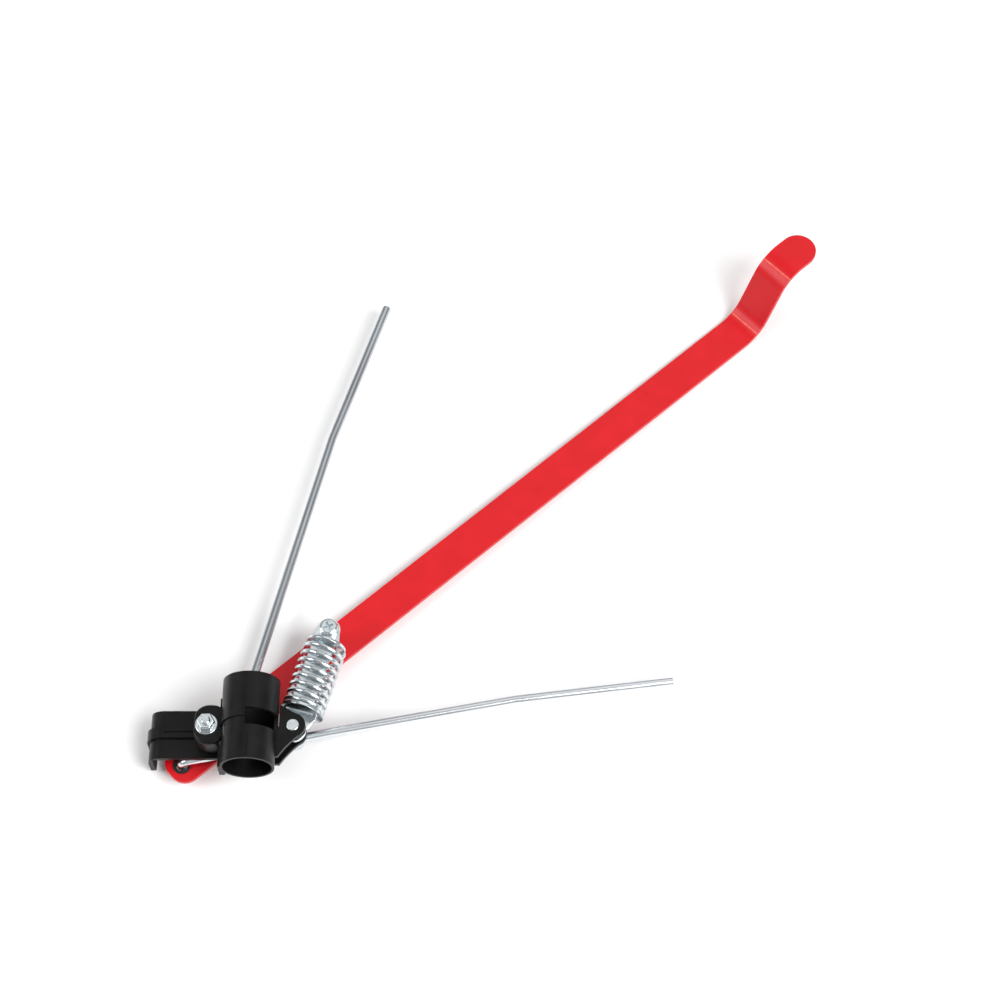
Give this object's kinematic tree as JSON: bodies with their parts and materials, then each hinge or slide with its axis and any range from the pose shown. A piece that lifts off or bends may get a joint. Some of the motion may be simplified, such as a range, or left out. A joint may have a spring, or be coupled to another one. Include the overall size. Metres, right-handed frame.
{
  "type": "lever rod spreader",
  "caption": "Tube collar with a long flat hand lever, a toggle spring strut, a fixed wire rod and a swinging wire rod that the lever moves.",
  "frame": {"origin": "centre of the collar's bore", "axes": "+Y along the bore, +X towards the spring strut, +Z away from the lever"},
  "size_m": [0.4453, 0.391, 0.0585],
  "materials": {
    "red_paint": "glossy",
    "black_plastic": "satin moulded",
    "black_rubber": "matte",
    "zinc": "bright zinc plate",
    "zinc_rod": "bright zinc plate"
  },
  "bodies": {
    "clamp": {"sleeve_rear": "black_plastic", "sleeve_front": "black_plastic", "fixed_rod": "zinc_rod", "pivot_bolt": "zinc", "pivot_washer": "zinc", "pivot_sleeve": "zinc", "flange_nut": "zinc", "pin_spacer_lower": "black_plastic", "pin_spacer_upper": "black_plastic"},
    "lever": {"lever": "red_paint", "tail_bush": "black_rubber", "eye_post": "zinc", "eye_washer": "zinc", "eye_screw": "zinc", "eye_nut": "zinc"},
    "strut_lower": {"strut_lower": "zinc", "spring_seat_lower": "zinc", "spring": "zinc"},
    "strut_upper": {"strut_upper": "zinc", "spring_seat_upper": "zinc"},
    "swivel": {"swivel_pin": "zinc"},
    "swing_rod": {"swing_rod": "zinc_rod"}
  },
  "joints": [
    {"name": "lever_pivot", "type": "hinge", "parent": "clamp", "child": "lever", "pos_m": [-0.027, 0, -0.0285], "axis": [0, 0, 1], "range_deg": [-14, 0], "stiffness_Nm_per_rad": 3, "springref_deg": 8.59, "deforming": ["spring"]},
    {"name": "strut_swing", "type": "hinge", "parent": "clamp", "child": "strut_lower", "pos_m": [0.027, 0, -0.0075], "axis": [0, 0, 1], "range_deg": [-18.81, 0]},
    {"name": "strut_eye", "type": "hinge", "parent": "lever", "child": "strut_upper", "pos_m": [0.04686, 0.06848, -0.0075], "axis": [0, 0, 1], "range_deg": [-4.81, 0]},
    {"name": "swivel_turn", "type": "hinge", "parent": "clamp", "child": "swivel", "pos_m": [0.027, 0, -0.0235], "axis": [0, 0, 1], "range_deg": [-4.27, 0]},
    {"name": "rod_slide", "type": "slide", "parent": "swivel", "child": "swing_rod", "axis": [0.9762, 0.2167, 0], "range_m": [-0.0028, 0]}
  ],
  "couplings": [
    {"joint": "strut_swing", "follows": "lever_pivot", "ratio": 1.329},
    {"joint": "strut_eye", "follows": "lever_pivot", "ratio": 0.329},
    {"joint": "swivel_turn", "follows": "lever_pivot", "ratio": 0.291},
    {"joint": "rod_slide", "follows": "lever_pivot", "m_per_rad": 0.01029}
  ]
}
